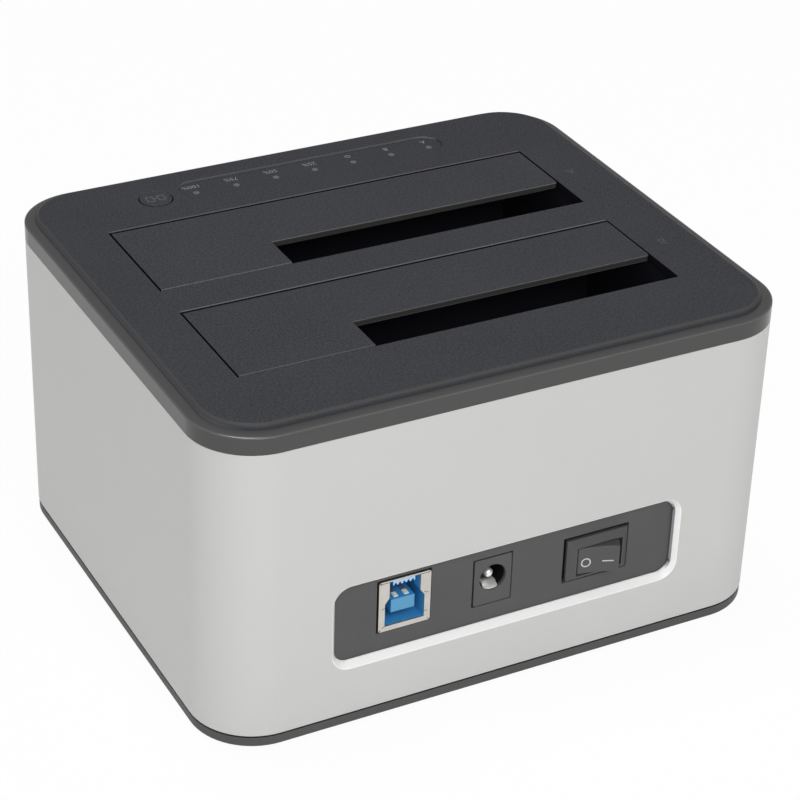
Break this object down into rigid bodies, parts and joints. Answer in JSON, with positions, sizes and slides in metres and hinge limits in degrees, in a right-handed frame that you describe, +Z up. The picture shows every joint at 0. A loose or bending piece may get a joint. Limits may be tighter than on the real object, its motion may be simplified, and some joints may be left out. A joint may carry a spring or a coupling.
{
  "type": "hard drive docking station",
  "caption": "Free-standing drive dock with top-loading bays under sprung flaps, a silver sleeve, dark cover and base, and rear ports with a power rocker.",
  "frame": {"origin": "middle of the footprint, on the surface that the feet stand on", "axes": "+X along the bays, towards the data port's end; +Y towards the rear ports; +Z up"},
  "size_m": [0.136, 0.1181, 0.078],
  "materials": {
    "silver_shell": "fine silver paint",
    "dark_shell": "fine matte texture",
    "panel_plastic": "matte",
    "black_plastic": "matte",
    "switch_plastic": "satin",
    "foot_rubber": "matte",
    "steel": "plain",
    "bright_plating": "nickel plate",
    "contact_gold": "plated",
    "can_aluminium": "plain",
    "circuit_board": "lacquered board",
    "blue_plastic": "satin",
    "pale_plastic": "satin"
  },
  "bodies": {
    "housing": {"sleeve": "silver_shell", "top_cover": "dark_shell", "base": "dark_shell", "feet": "foot_rubber", "io_panel": "panel_plastic", "front_bay_well": "black_plastic", "rear_bay_well": "black_plastic", "front_hinge_pin": "steel", "rear_hinge_pin": "steel", "front_flap_spring": "steel", "rear_flap_spring": "steel", "main_board": "circuit_board", "front_sata_socket": "black_plastic", "rear_sata_socket": "black_plastic", "front_sata_contacts": "contact_gold", "rear_sata_contacts": "contact_gold", "controller_chips": "black_plastic", "filter_capacitors": "can_aluminium", "power_inductors": "black_plastic", "usb_shell": "bright_plating", "usb_insert": "blue_plastic", "usb_contacts": "contact_gold", "dc_jack_body": "black_plastic", "dc_jack_pin": "bright_plating", "dc_jack_spring": "bright_plating", "power_switch_body": "switch_plastic", "switch_terminals": "steel", "tact_switch_body": "black_plastic", "light_guide": "pale_plastic", "indicator_leds": "pale_plastic", "indicator_board": "circuit_board", "indicator_ribbon": "pale_plastic", "ribbon_connectors": "pale_plastic", "case_screws": "steel", "well_screws": "steel", "board_screws": "steel", "indicator_screws": "steel"},
    "front_door": {"front_flap": "dark_shell"},
    "rear_door": {"rear_flap": "dark_shell"},
    "rocker": {"power_rocker": "switch_plastic"},
    "button": {"clone_button": "dark_shell", "tact_switch_plunger": "steel"}
  },
  "joints": [
    {"name": "front_flap_hinge", "type": "hinge", "parent": "housing", "child": "front_door", "pos_m": [0.00125, -0.037, 0.0735], "axis": [-1, 0, 0], "range_deg": [0, 90], "stiffness_Nm_per_rad": 0.006, "springref_deg": -57.3, "deforming": ["front_flap_spring"]},
    {"name": "rear_flap_hinge", "type": "hinge", "parent": "housing", "child": "rear_door", "pos_m": [0.00125, 0.0028, 0.0735], "axis": [-1, 0, 0], "range_deg": [0, 90], "stiffness_Nm_per_rad": 0.006, "springref_deg": -57.3, "deforming": ["rear_flap_spring"]},
    {"name": "power_rocker_tilt", "type": "hinge", "parent": "housing", "child": "rocker", "pos_m": [-0.02265, 0.05556, 0.02535], "axis": [0, 0, 1], "range_deg": [0, 32]},
    {"name": "clone_button_press", "type": "slide", "parent": "housing", "child": "button", "axis": [0, 0, -1], "range_m": [0, 0.0005], "stiffness_N_per_m": 1500, "springref_m": -0.0005}
  ]
}
